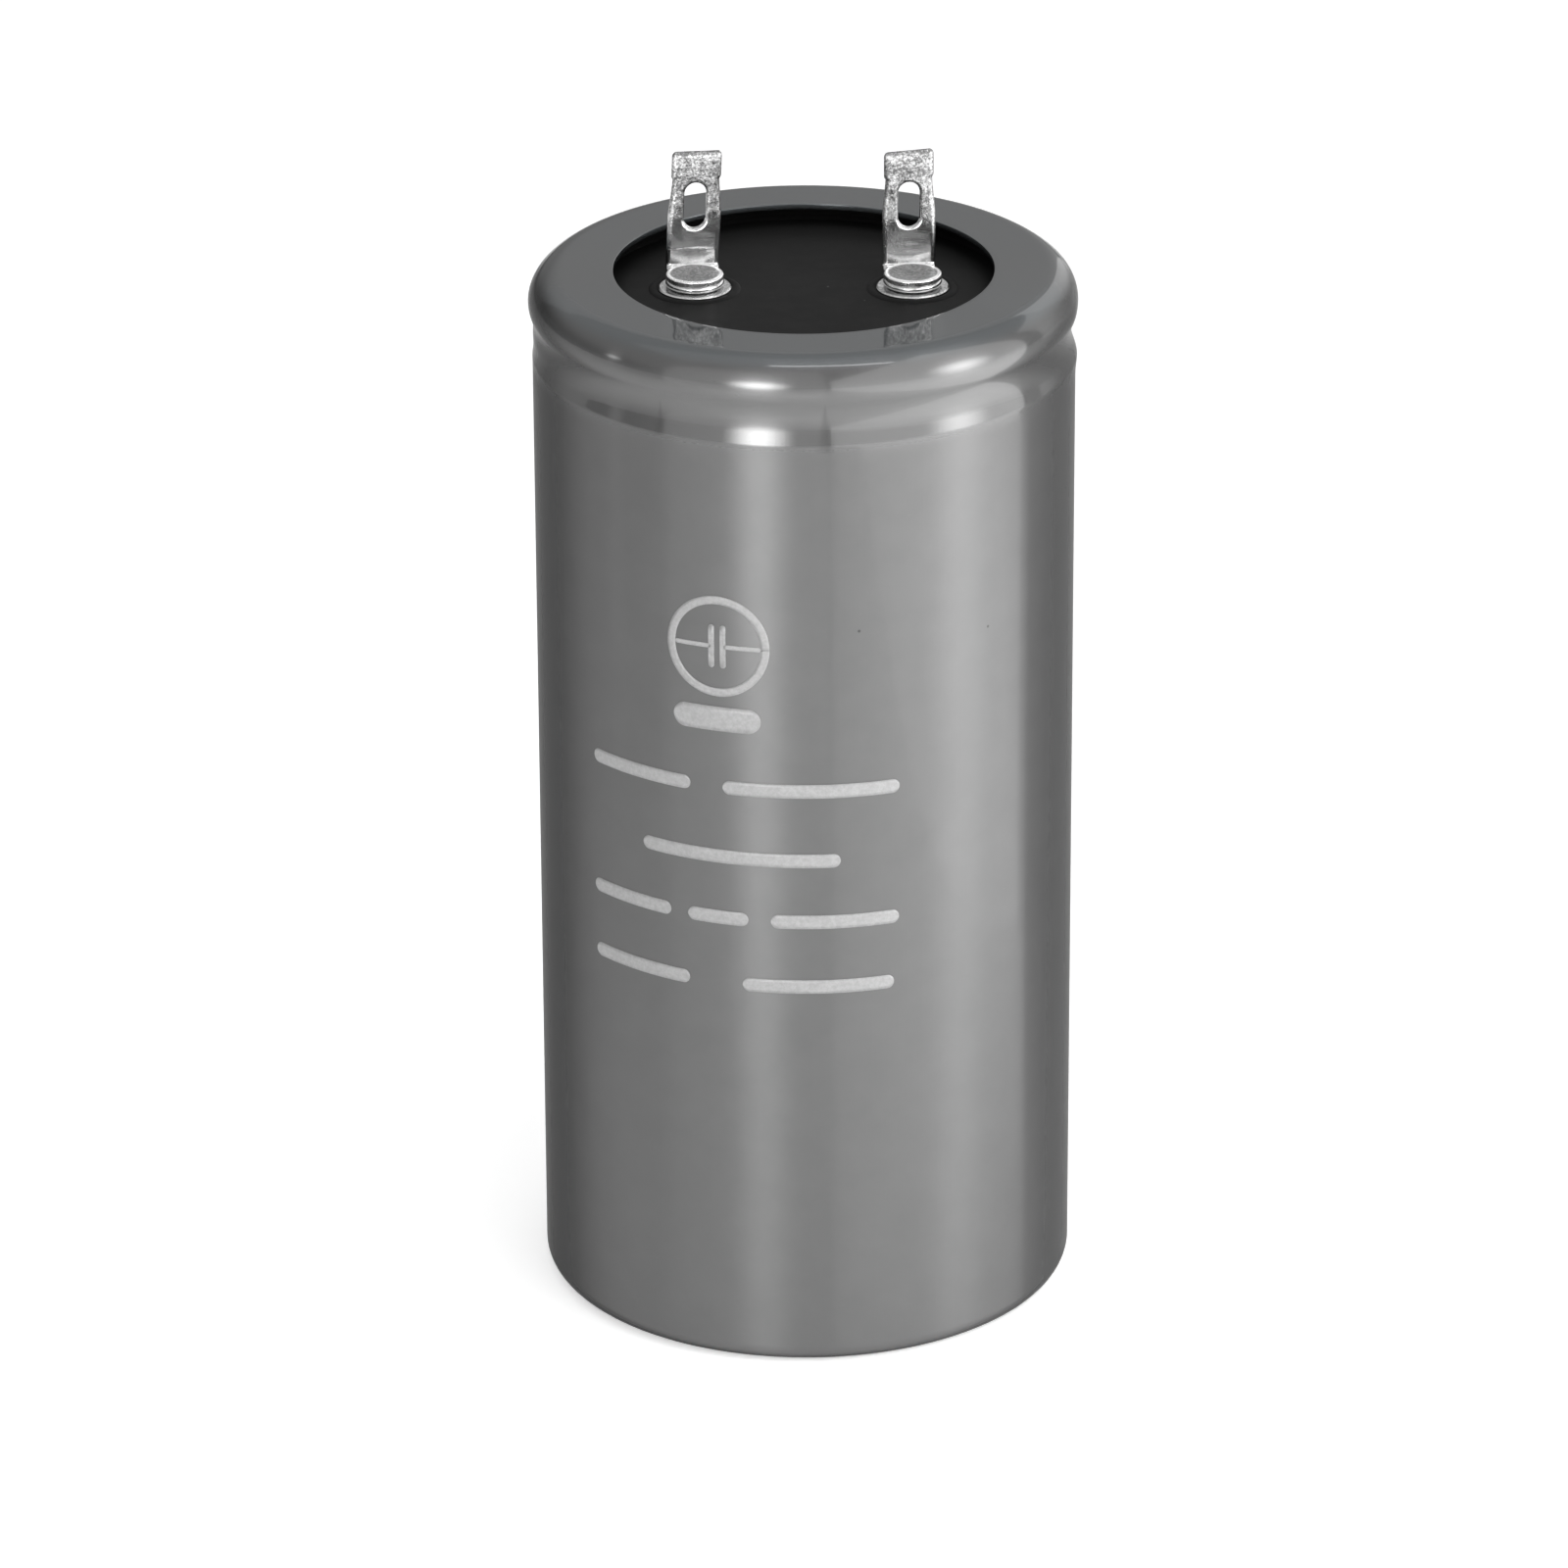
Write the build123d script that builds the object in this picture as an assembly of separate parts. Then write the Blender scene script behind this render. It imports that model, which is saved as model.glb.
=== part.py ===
from build123d import *
from math import asin, cos, degrees, radians, sin, tan
import os

# A motor start capacitor: a drawn can in a shrink sleeve, closed by a rubber-faced
# board that carries two riveted lugs. Millimetres, +Z up, origin at the centre of the base.

# Overall size
sleeve_diameter = 50.0      # over the sleeve
body_height = 100.0         # base to the top of the sleeve's lip
lug_rise = 10.0             # top of the lip to the tips of the lugs

# Shrink sleeve
film = 0.3                  # thickness once shrunk
top_opening = 35.0          # diameter left open over the cover
base_opening = 40.0         # diameter left open under the can
lip_bend = 0.2              # inside radius of the free edge, which turns down
dip_slope = 14.0            # degrees in from the wall, where the film leaves the groove's lower edge
dip_radius = 5.0            # bend of the film as it turns out again towards the bead

# Can
can_wall = 0.45
can_base = 0.7
base_corner = 1.05          # outside radius between wall and base
groove_radius = 0.9         # outside radius at the bottom of the groove
groove_corner = 0.9         # outside radius at the groove's lower edge
bead_radius = 2.6           # outside radius of the bead, which rolls in over the cover
bead_swell = 0.2            # how far the bead stands out from the wall
seat_width = 0.3            # flat shelf over the groove, where the cover rests
score_length = 24.0         # relief scores across the base
score_width = 0.5
score_depth = 0.25

# Cover: rubber sheet on a stiff board
rubber_thickness = 1.2
rubber_clearance = 0.05     # round the sheet, inside the can
board_thickness = 1.8
bulge_width = 0.9           # rubber squeezed up round each washer
bulge_height = 0.18

# Terminals
rivet_pitch = 20.0
rivet_shank = 3.2
rivet_head = 5.3
rivet_head_height = 0.45
rivet_head_round = 0.15
rivet_dish = 0.06           # hollow left in the head by the punch
rivet_dish_width = 4.2
clench_diameter = 4.8
clench_height = 1.0
clench_round = 0.4
hole_clearance = 0.1        # between the shank and each hole, on the radius
outer_washer = 6.7
outer_washer_thickness = 0.7
washer_sink = 0.4           # how far the outer washer is pressed into the rubber
washer_break = 0.12         # chamfer round the rim
inner_washer = 7.0
inner_washer_thickness = 0.8

# Lugs, bent up from strip
lug_thickness = 0.8
lug_bend = 0.35             # inside radius of the bend
lug_head_clearance = 0.05   # rivet head to the start of the bend
eyelet_diameter = 5.4
blade_width = 4.9
waist_width = 4.3           # beside the top of the slot
tip_width = 4.6
tip_height = 2.4            # from the shoulders to the tip
taper_length = 3.4          # from full width up to the waist
shoulder_rise = 0.2
tip_corner = 0.45
slot_width = 2.0
slot_length = 4.4
slot_to_tip = 2.85          # metal left above the slot
edge_round = 0.2            # rolled edges of the stamping
left_lean = 3.0             # degrees that the left blade leans to the right
right_turn = 8.0            # degrees that the right lug is turned on its rivet

# Foil tabs
tab_width = 6.0
tab_thickness = 0.25
tab_bend = 0.6              # inside radius of the bend under the board
tab_gap = 0.5               # inner washer to the start of the bend
tab_embedded = 30.0         # length rolled in with the winding

# Winding and its insulation
pad_thickness = 1.5         # between the can's base and the winding
winding_to_can = 1.5        # on the radius
winding_to_cover = 6.5      # from the top of the winding up to the board
mandrel_bore = 7.0
insulator_thickness = 0.5
slit_clearance = 0.4        # round each tab, where it passes the insulator
tape_thickness = 0.2
tape_width = 40.0

# Levels and radii that follow from the sizes above
can_radius = sleeve_diameter / 2 - film
can_inside = can_radius - can_wall
can_foot = film
can_top = body_height - film
floor_level = can_foot + can_base
inside_corner = base_corner - can_wall
bead_centre = (can_radius + bead_swell - bead_radius, can_top - bead_radius)
shelf_level = bead_centre[1] - bead_radius
seat_level = shelf_level + can_wall
board_top = seat_level + board_thickness
rubber_face = board_top + rubber_thickness
groove_level = shelf_level - groove_radius
edge_centre = (can_radius - groove_corner, groove_level - groove_radius - groove_corner)
washer_top = rubber_face - washer_sink + outer_washer_thickness
foot_top = washer_top + lug_thickness
lug_tip = body_height + lug_rise
tab_top = seat_level
inner_washer_top = tab_top - tab_thickness
clench_top = inner_washer_top - inner_washer_thickness
winding_foot = floor_level + pad_thickness
winding_top = seat_level - winding_to_cover
winding_radius = can_inside - winding_to_can
blade_front = rivet_head / 2 + lug_head_clearance + lug_bend
tab_run = inner_washer / 2 + tab_gap + tab_bend + tab_thickness
hole_radius = rivet_shank / 2 + hole_clearance
sides = {"left": -1, "right": 1}


def spin(*edges):
    """Solid turned about the Z axis from a closed outline drawn as (radius, height)."""
    return revolve(Plane.XZ * make_face(Curve() + list(edges)), Axis.Z)


def disc(diameter, thickness, level):
    """Plain round plate that stands on the given level."""
    return Pos(0, 0, level) * extrude(Circle(diameter / 2), thickness)


def at_rivets(piece):
    """Two copies of a piece, one on each rivet axis."""
    return [Pos(side * rivet_pitch / 2, 0, 0) * piece for side in sides.values()]


def dip_centre():
    """Centre of the film's bend in the groove, between the bead and the groove's lower edge.

    The bend's circle touches the bead's circle from outside. It also touches the line that
    leaves the edge's circle at the dip's slope, so the centre lies a step along that line.
    """
    slope = radians(dip_slope)
    out, along = (cos(slope), sin(slope)), (-sin(slope), cos(slope))
    away = groove_corner + dip_radius
    start = [edge_centre[i] + away * out[i] - bead_centre[i] for i in (0, 1)]
    half = start[0] * along[0] + start[1] * along[1]
    rest = start[0] ** 2 + start[1] ** 2 - (bead_radius + dip_radius) ** 2
    step = -half - (half ** 2 - rest) ** 0.5
    return tuple(bead_centre[i] + start[i] + step * along[i] for i in (0, 1))


def film_surface(out):
    """One surface of the sleeve, from the base opening up to the lip's free edge.

    out is the distance outwards from the can: 0 for the inside, film for the outside.
    The film spans the groove from its lower edge to the bead, and dips into it.
    """
    wall = can_radius + out
    corner = base_corner + out
    edge = groove_corner + out
    slope = radians(dip_slope)
    bend = dip_centre()
    leave = degrees(asin((bend[1] - bead_centre[1]) / (bead_radius + dip_radius)))
    lip = lip_bend + out
    lip_centre = (top_opening / 2 + lip_bend + film, can_top - lip_bend)
    foot_of_dip = (edge_centre[0] + edge * cos(slope), edge_centre[1] + edge * sin(slope))
    turn = (bend[0] - (dip_radius - out) * cos(slope), bend[1] - (dip_radius - out) * sin(slope))
    return [
        Line((base_opening / 2, can_foot - out), (can_radius - base_corner, can_foot - out)),
        CenterArc((can_radius - base_corner, can_foot + base_corner), corner, -90, 90),
        Line((wall, can_foot + base_corner), (wall, edge_centre[1])),
        CenterArc(edge_centre, edge, 0, dip_slope),
        Line(foot_of_dip, turn),
        CenterArc(bend, dip_radius - out, 180 + dip_slope, leave - dip_slope),
        CenterArc(bead_centre, bead_radius + out, leave, 90 - leave),
        Line((bead_centre[0], can_top + out), (lip_centre[0], can_top + out)),
        CenterArc(lip_centre, lip, 90, 90),
    ]


def make_sleeve():
    """Shrink sleeve: one skin of film that wraps round both ends of the can."""
    edge_level = can_top - lip_bend
    ends = [
        Line((base_opening / 2, can_foot), (base_opening / 2, can_foot - film)),
        Line((top_opening / 2, edge_level), (top_opening / 2 + film, edge_level)),
    ]
    return spin(*film_surface(0), *film_surface(film), *ends)


def can_surface(deep):
    """One surface of the can, from the axis to its rolled-in edge.

    deep is the distance inwards from the outside: 0 or the wall's thickness.
    """
    wall = can_radius - deep
    corner = base_corner - deep
    floor = can_foot if deep == 0 else floor_level
    corner_level = floor + corner
    edge = groove_corner - deep
    hollow = groove_radius + deep
    hollow_centre = (bead_centre[0] - seat_width, groove_level)
    rim = bead_radius - deep
    curl_angle = 180 - degrees(asin((rubber_face - bead_centre[1]) / rim))
    return [
        Line((0, floor), (can_radius - base_corner, floor)),
        CenterArc((can_radius - base_corner, corner_level), corner, -90, 90),
        Line((wall, corner_level), (wall, edge_centre[1])),
        CenterArc(edge_centre, edge, 0, 90),
        Line((edge_centre[0], groove_level - hollow), (hollow_centre[0], groove_level - hollow)),
        CenterArc(hollow_centre, hollow, -90, -180),
        Line((hollow_centre[0], groove_level + hollow), (bead_centre[0], groove_level + hollow)),
        CenterArc(bead_centre, rim, -90, 90 + curl_angle),
    ]


def rim_edge(deep):
    """Point where a surface of the rolled-in rim meets the face of the rubber."""
    rise = rubber_face - bead_centre[1]
    reach = ((bead_radius - deep) ** 2 - rise ** 2) ** 0.5
    return (bead_centre[0] - reach, rubber_face)


def make_can():
    """Drawn can with its beaded groove, rolled-in rim and cross-scored base."""
    ends = [
        Line((0, can_foot), (0, floor_level)),
        Line(rim_edge(0), rim_edge(can_wall)),
    ]
    can = spin(*can_surface(0), *can_surface(can_wall), *ends)
    notch = Polyline((-score_width / 2, 0), (score_width / 2, 0), (0, score_depth), close=True)
    score = extrude(Plane.XZ * make_face(notch), score_length / 2, both=True)
    for angle in (0, 90):
        can -= Pos(0, 0, can_foot) * Rot(0, 0, angle) * score
    return can


def rim_cavity(clearance):
    """Space inside the bead, from its shelf up to the underside of the rolled-in rim."""
    bend = bead_radius - can_wall - clearance
    low, high = bead_centre[1] - bend, bead_centre[1] + bend
    return spin(
        Line((0, low), (bead_centre[0], low)),
        CenterArc(bead_centre, bend, -90, 180),
        Line((bead_centre[0], high), (0, high)),
        Line((0, high), (0, low)),
    )


def make_cover_rubber():
    """Rubber face of the cover, with each outer washer pressed into it."""
    blank = disc(2 * (bead_centre[0] + bead_radius), rubber_thickness, board_top)
    rubber = blank & rim_cavity(rubber_clearance)
    inner = outer_washer / 2
    swell = ThreePointArc(
        (inner, rubber_face),
        (inner + bulge_width / 2, rubber_face + bulge_height),
        (inner + bulge_width, rubber_face),
    )
    root = Polyline(
        (inner + bulge_width, rubber_face),
        (inner + bulge_width, board_top),
        (inner, board_top),
        (inner, rubber_face),
    )
    rubber += at_rivets(spin(swell, root))
    rubber -= at_rivets(disc(outer_washer, washer_sink, rubber_face - washer_sink))
    rubber -= at_rivets(disc(2 * hole_radius, rubber_thickness, board_top))
    return rubber


def make_cover_board():
    """Stiff board that rests on the shelf over the groove."""
    board = disc(2 * bead_centre[0], board_thickness, seat_level)
    return board - at_rivets(disc(2 * hole_radius, board_thickness, seat_level))


def make_washer(diameter, thickness, level):
    """Plain washer on a rivet, with its rim broken on both faces."""
    ring = disc(diameter, thickness, level) - disc(2 * hole_radius, thickness, level)
    rims = ring.edges().filter_by(GeomType.CIRCLE).sort_by(lambda edge: edge.radius)[-2:]
    return chamfer(rims, washer_break)


def make_rivet():
    """Rivet with a dished head outside and its end clenched inside the can."""
    head = disc(rivet_head, rivet_head_height, foot_top)
    head = fillet(head.edges().group_by(Axis.Z)[-1], rivet_head_round)
    head_top = foot_top + rivet_head_height
    dish = spin(
        ThreePointArc(
            (-rivet_dish_width / 2, head_top),
            (0, head_top - rivet_dish),
            (rivet_dish_width / 2, head_top),
        ).trim(0.5, 1),
        Line((rivet_dish_width / 2, head_top), (0, head_top)),
        Line((0, head_top), (0, head_top - rivet_dish)),
    )
    shank = disc(rivet_shank, foot_top - clench_top, clench_top)
    clench = disc(clench_diameter, clench_height, clench_top - clench_height)
    clench = fillet(clench.edges().group_by(Axis.Z)[0], clench_round)
    return head - dish + shank + clench


def blade_outline(lean):
    """Front view of the blade above its bend, as (sideways, height), leaning by shear."""
    foot = foot_top + lug_bend
    shoulder = lug_tip - tip_height
    waist = shoulder - shoulder_rise
    right = [
        (blade_width / 2, foot),
        (blade_width / 2, waist - taper_length),
        (waist_width / 2, waist),
        (tip_width / 2, shoulder),
        (tip_width / 2, lug_tip),
    ]
    left = [(-x, z) for x, z in reversed(right)]
    slope = tan(radians(lean))
    outline = Polyline(*[(x + slope * (z - foot), z) for x, z in right + left], close=True)
    blade = make_face(outline)
    blade = fillet(blade.vertices().group_by(Axis.Y)[-1], tip_corner)
    slot_middle = lug_tip - slot_to_tip - slot_length / 2
    slot = SlotOverall(slot_length, slot_width, rotation=90 - lean)
    return blade - Pos(slope * (slot_middle - foot), slot_middle) * slot


def make_lug(lean):
    """Solder lug: an eyelet foot, a tight bend, and an upright blade with a slot."""
    bend_level = foot_top + lug_bend
    bend_centre = (blade_front - lug_bend, bend_level)
    bend = make_face(
        Curve()
        + [
            CenterArc(bend_centre, lug_bend, -90, 90),
            Line((blade_front, bend_level), (blade_front + lug_thickness, bend_level)),
            CenterArc(bend_centre, lug_bend + lug_thickness, -90, 90),
            Line((bend_centre[0], washer_top), (bend_centre[0], foot_top)),
        ]
    )
    bend = extrude(Plane.YZ * bend, blade_width / 2, both=True)
    neck = Pos(0, bend_centre[0] / 2) * Rectangle(blade_width, bend_centre[0])
    foot = extrude(Circle(eyelet_diameter / 2) + neck, lug_thickness)
    foot = Pos(0, 0, washer_top) * foot
    blade = extrude(Plane.XZ * blade_outline(lean), -lug_thickness)
    blade = Pos(0, blade_front, 0) * blade
    for face in (blade_front, blade_front + lug_thickness):
        rims = blade.edges().filter_by_position(Axis.Y, face - edge_round / 2, face + edge_round / 2)
        blade = fillet([rim for rim in rims if rim.center().Z > bend_level + edge_round], edge_round)
    lug = foot + bend + blade
    return lug - disc(2 * hole_radius, lug_thickness, washer_top)


def make_tab():
    """Foil tab: rises from the winding, folds in under the board and takes the rivet."""
    bend_centre = (tab_run - tab_thickness - tab_bend, inner_washer_top - tab_bend)
    outer = tab_bend + tab_thickness
    foot = winding_top - tab_embedded
    outline = Curve() + [
        Line((0, inner_washer_top), (bend_centre[0], inner_washer_top)),
        CenterArc(bend_centre, tab_bend, 0, 90),
        Line((tab_run - tab_thickness, bend_centre[1]), (tab_run - tab_thickness, foot)),
        Line((tab_run - tab_thickness, foot), (tab_run, foot)),
        Line((tab_run, foot), (tab_run, bend_centre[1])),
        CenterArc(bend_centre, outer, 0, 90),
        Line((bend_centre[0], tab_top), (0, tab_top)),
        Line((0, tab_top), (0, inner_washer_top)),
    ]
    strip = extrude(Plane.XZ * make_face(outline), tab_width / 2, both=True)
    strip += disc(tab_width, tab_thickness, inner_washer_top)
    return strip - disc(2 * hole_radius, tab_thickness, inner_washer_top)


def tab_slit(clearance, foot, top):
    """Space that the upright part of a tab takes up, between two levels."""
    slit = Box(
        tab_thickness + 2 * clearance,
        tab_width + 2 * clearance,
        top - foot,
        align=(Align.CENTER, Align.CENTER, Align.MIN),
    )
    return Pos(tab_run - tab_thickness / 2, 0, foot) * slit


def at_tabs(piece):
    """A piece drawn beside the right-hand rivet, and its mirror on the left."""
    right = Pos(rivet_pitch / 2, 0, 0) * piece
    return [right, mirror(right, Plane.YZ)]


def make_winding():
    """Rolled foil and paper, open at the mandrel bore, with the tabs rolled in."""
    height = winding_top - winding_foot
    roll = disc(2 * winding_radius, height, winding_foot)
    roll -= disc(mandrel_bore, height, winding_foot)
    return roll - at_tabs(tab_slit(0, winding_top - tab_embedded, winding_top))


def make_winding_tape():
    """Tape that closes the roll, once round its middle."""
    level = (winding_foot + winding_top - tape_width) / 2
    band = disc(2 * (winding_radius + tape_thickness), tape_width, level)
    return band - disc(2 * winding_radius, tape_width, level)


def make_upper_insulator():
    """Disc on top of the winding, with a slit for each tab."""
    plate = disc(2 * winding_radius, insulator_thickness, winding_top)
    slits = tab_slit(slit_clearance, winding_top, winding_top + insulator_thickness)
    return plate - at_tabs(slits)


def make_base_pad():
    """Disc between the can's base and the winding."""
    return disc(2 * (can_inside - inside_corner), pad_thickness, floor_level)


def build_parts():
    """Every piece of the capacitor by name, each in its place."""
    parts = {
        "sleeve": make_sleeve(),
        "can": make_can(),
        "cover_rubber": make_cover_rubber(),
        "cover_board": make_cover_board(),
        "winding": make_winding(),
        "winding_tape": make_winding_tape(),
        "upper_insulator": make_upper_insulator(),
        "base_pad": make_base_pad(),
    }
    outer = make_washer(outer_washer, outer_washer_thickness, rubber_face - washer_sink)
    inner = make_washer(inner_washer, inner_washer_thickness, clench_top)
    lugs = {"left": make_lug(left_lean), "right": Rot(0, 0, right_turn) * make_lug(0)}
    tabs = dict(zip(("right", "left"), at_tabs(make_tab())))
    for name, side in sides.items():
        place = Pos(side * rivet_pitch / 2, 0, 0)
        parts[f"{name}_lug"] = place * lugs[name]
        parts[f"{name}_rivet"] = place * make_rivet()
        parts[f"{name}_outer_washer"] = place * outer
        parts[f"{name}_inner_washer"] = place * inner
        parts[f"{name}_tab"] = tabs[name]
    return parts


os.makedirs("parts", exist_ok=True)
for name, part in build_parts().items():
    export_step(part, f"parts/{name}.step")
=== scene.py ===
import bpy
import numpy as np
from mathutils import Matrix, Vector


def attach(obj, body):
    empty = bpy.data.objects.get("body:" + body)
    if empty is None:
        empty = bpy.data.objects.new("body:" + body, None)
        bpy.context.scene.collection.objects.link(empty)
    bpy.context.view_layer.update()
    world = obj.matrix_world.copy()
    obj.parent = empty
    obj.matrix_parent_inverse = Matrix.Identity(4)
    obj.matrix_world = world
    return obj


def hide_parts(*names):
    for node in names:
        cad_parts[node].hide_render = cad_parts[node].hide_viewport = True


mm = 0.001


def metres(lengths):
    # Millimetres turned into the scene's own unit
    return tuple(length * mm for length in lengths)


def addNode(tree, kind, sockets=None, **settings):
    # A node with its settings; a socket is linked and any other value is written into the input
    node = tree.nodes.new("ShaderNode" + kind)
    for key, value in settings.items():
        setattr(node, key, value)
    for key, value in (sockets or {}).items():
        if isinstance(value, bpy.types.NodeSocket):
            tree.links.new(value, node.inputs[key])
        else:
            node.inputs[key].default_value = value
    return node


def remap(tree, value, limits, results=(0.0, 1.0)):
    # Smooth step between the two results while the value goes from one limit to the other
    sockets = {"Value": value}
    sockets.update(zip(("From Min", "From Max", "To Min", "To Max"), (*limits, *results)))
    return addNode(tree, "MapRange", sockets, interpolation_type="SMOOTHSTEP").outputs["Result"]


def combine(tree, operation, first, second=0.0):
    return addNode(tree, "Math", {0: first, 1: second}, operation=operation).outputs["Value"]


def blendTones(tree, share, first, second):
    # Colour between two tones; a tone is a grey level, a colour or a socket
    tones = [(tone, tone, tone, 1) if isinstance(tone, float) else tone for tone in (first, second)]
    return addNode(tree, "Mix", {0: share, 6: tones[0], 7: tones[1]}, data_type="RGBA").outputs[2]


def objectPlace(tree):
    return addNode(tree, "TexCoord").outputs["Object"]


def splitPlace(tree, place):
    return addNode(tree, "SeparateXYZ", {0: place}).outputs


def axisDistance(tree, across, back):
    # Length of the level vector with these two parts
    level = addNode(tree, "CombineXYZ", {"X": across, "Y": back}).outputs["Vector"]
    return addNode(tree, "VectorMath", {0: level}, operation="LENGTH").outputs["Value"]


def grain(tree, place, scale, stretch=(1, 1, 1), detail=5.0, roughness=0.6):
    # Noise in millimetres: scale is its number of cells per millimetre before the stretch
    cells = tuple(1000 * scale * part for part in stretch)
    spread = addNode(tree, "Mapping", {"Vector": place, "Scale": cells}).outputs["Vector"]
    sockets = {"Vector": spread, "Scale": 1.0, "Detail": detail, "Roughness": roughness}
    return addNode(tree, "TexNoise", sockets).outputs["Fac"]


def newMaterial(name, color, roughness, metallic=0.0):
    material = bpy.data.materials.new(name)
    material.use_nodes = True
    shader = material.node_tree.nodes["Principled BSDF"]
    tone = (color, color, color) if np.isscalar(color) else color
    shader.inputs["Base Color"].default_value = (*tone, 1)
    shader.inputs["Roughness"].default_value = roughness
    shader.inputs["Metallic"].default_value = metallic
    return material


def feed(tree, **sockets):
    # Links values to the shader's own inputs, whose names are written here in one word
    names = {
        "color": "Base Color",
        "roughness": "Roughness",
        "coatWeight": "Coat Weight",
        "metallic": "Metallic",
    }
    for key, value in sockets.items():
        tree.links.new(value, tree.nodes["Principled BSDF"].inputs[names[key]])


def bumped(tree, height, distance):
    # The height, times a distance in millimetres, tilts the surface's normal
    bump = addNode(tree, "Bump", {"Height": height, "Distance": distance * mm, "Strength": 1.0})
    tree.links.new(bump.outputs["Normal"], tree.nodes["Principled BSDF"].inputs["Normal"])


# Camera: its place in millimetres, its turns in degrees, and its focal length for this width of sensor
view = {
    "place": (0.0, -751.379, 371.024),
    "pitch": 23.2342,
    "yaw": -0.1548,
    "roll": -0.2697,
    "lens": 199.6,
    "sensor": 36,
}


def makeCamera():
    # The view line from pitch and yaw, then the picture turned about it by roll
    pitch, yaw, roll = np.radians([view["pitch"], view["yaw"], view["roll"]])
    ahead = Vector((np.sin(yaw) * np.cos(pitch), np.cos(yaw) * np.cos(pitch), -np.sin(pitch)))
    across = ahead.cross(Vector((0, 0, 1))).normalized()
    upward = across.cross(ahead)
    right = across * np.cos(roll) + upward * np.sin(roll)
    top = upward * np.cos(roll) - across * np.sin(roll)
    lens = bpy.data.cameras.new("camera")
    lens.lens = view["lens"]
    lens.sensor_width = view["sensor"]
    camera = bpy.data.objects.new("camera", lens)
    turn = Matrix((right, top, -ahead)).transposed().to_4x4()
    camera.matrix_world = Matrix.Translation(Vector(view["place"]) * mm) @ turn
    bpy.context.scene.collection.objects.link(camera)
    bpy.context.scene.camera = camera


# Studio in metres, apart from the floor's level in millimetres. The room is dim low down toward one side:
# dimTurn and dimHeight are the limits between which that sets in. A lamp has its place, the point it faces,
# its size, its brightness and how far its light fades toward its rim, from 0 to 1.
studio = {
    "room": 0.58,
    "roomDim": 0.12,
    "dimSide": (-0.8, 0.6, 0),
    "dimTurn": (0.1, 0.8),
    "dimHeight": (0.15, 0.5),
    "floorColor": 0.9,
    "floorRoughness": 0.68,
    "floorLift": 0.33,
    "floorSize": 3.0,
    "floorLevel": -0.02,
    "lamps": {
        "rightBand": {
            "place": (0.46, -0.2, 0.2), "facing": (0, 0, 0.2),
            "size": (0.34, 0.4), "brightness": 8.84, "fade": 1,
        },
        "frontLamp": {
            "place": (-0.083, -0.257, 0.12), "facing": (0, 0, 0.12),
            "size": (0.15, 0.17), "brightness": 15.5, "fade": 1,
        },
        "leftLamp": {
            "place": (-0.297, -0.042, 0.15), "facing": (0, 0, 0.15),
            "size": (0.055, 0.08), "brightness": 5.0, "fade": 1,
        },
        "frontFill": {
            "place": (-0.3, -0.75, 0.42), "facing": (0, 0, 0.1),
            "size": (0.9, 0.8), "brightness": 0.12, "fade": 0.4,
        },
        "rearRight": {
            "place": (0.45, 0.52, 0.3), "facing": (0, 0, 0.3),
            "size": (0.66, 0.6), "brightness": 0.76, "fade": 0,
        },
        "rearWall": {
            "place": (0, 0.9, 0.45), "facing": (0, 0, 0.45),
            "size": (1.4, 0.68), "brightness": 0.22, "fade": 0,
        },
        "frontSheet": {
            "place": (-0.12, -0.17, 0.165), "facing": (-0.12, 0, 0.165),
            "size": (0.29, 0.33), "brightness": 0.514, "fade": 0,
        },
        "rightLow": {
            "place": (0.11, -0.287, 0.05), "facing": (0, -0.287, 0.05),
            "size": (0.586, 0.1), "brightness": 2.35, "fade": 0,
        },
        "rightHigh": {
            "place": (0.11, -0.287, 0.21), "facing": (0, -0.287, 0.21),
            "size": (0.586, 0.22), "brightness": 1.4, "fade": 0,
        },
        "ceiling": {
            "place": (0, 0.1, 1.1), "facing": (0, 0.1, 0),
            "size": (1.4, 0.68), "brightness": 0.22, "fade": 0,
        },
        "topStrip": {
            "place": (0.12, -0.16, 0.95), "facing": (0.12, -0.16, 0),
            "size": (0.5, 0.06), "brightness": 6.97, "fade": 0,
        },
    },
}


def softenPanel(lamp, softness):
    # Strength falls smoothly from 1 to 0 with the distance from the panel's middle, as far as its rim
    middle, rim = (0.5, 0.5, 0), 0.5
    lamp.use_nodes = True
    tree = lamp.node_tree
    place = addNode(tree, "NewGeometry").outputs["Parametric"]
    reach = addNode(tree, "VectorMath", {0: place, 1: middle}, operation="DISTANCE").outputs["Value"]
    fade = remap(tree, reach, (rim * (1 - softness), rim), (1.0, 0.0))
    tree.links.new(fade, tree.nodes["Emission"].inputs["Strength"])


def makeLamp(name, chosen):
    # A panel that looks from its place at the point it faces, with its width level; one straight overhead
    # has no level side of its own, so its width goes along x
    lamp = bpy.data.lights.new(name, "AREA")
    lamp.shape = "RECTANGLE"
    lamp.size, lamp.size_y = chosen["size"]
    lamp.energy = chosen["brightness"] * np.pi * lamp.size * lamp.size_y
    if chosen["fade"]:
        softenPanel(lamp, chosen["fade"])
    place = Vector(chosen["place"])
    outward = (place - Vector(chosen["facing"])).normalized()
    level = Vector((-outward.y, outward.x, 0)).normalized()
    across = level if outward.z < 0.99 else Vector((1, 0, 0))
    turn = Matrix((across, outward.cross(across), outward)).transposed().to_4x4()
    holder = bpy.data.objects.new(name, lamp)
    holder.matrix_world = Matrix.Translation(place) @ turn
    holder.visible_camera = False
    bpy.context.scene.collection.objects.link(holder)


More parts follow.
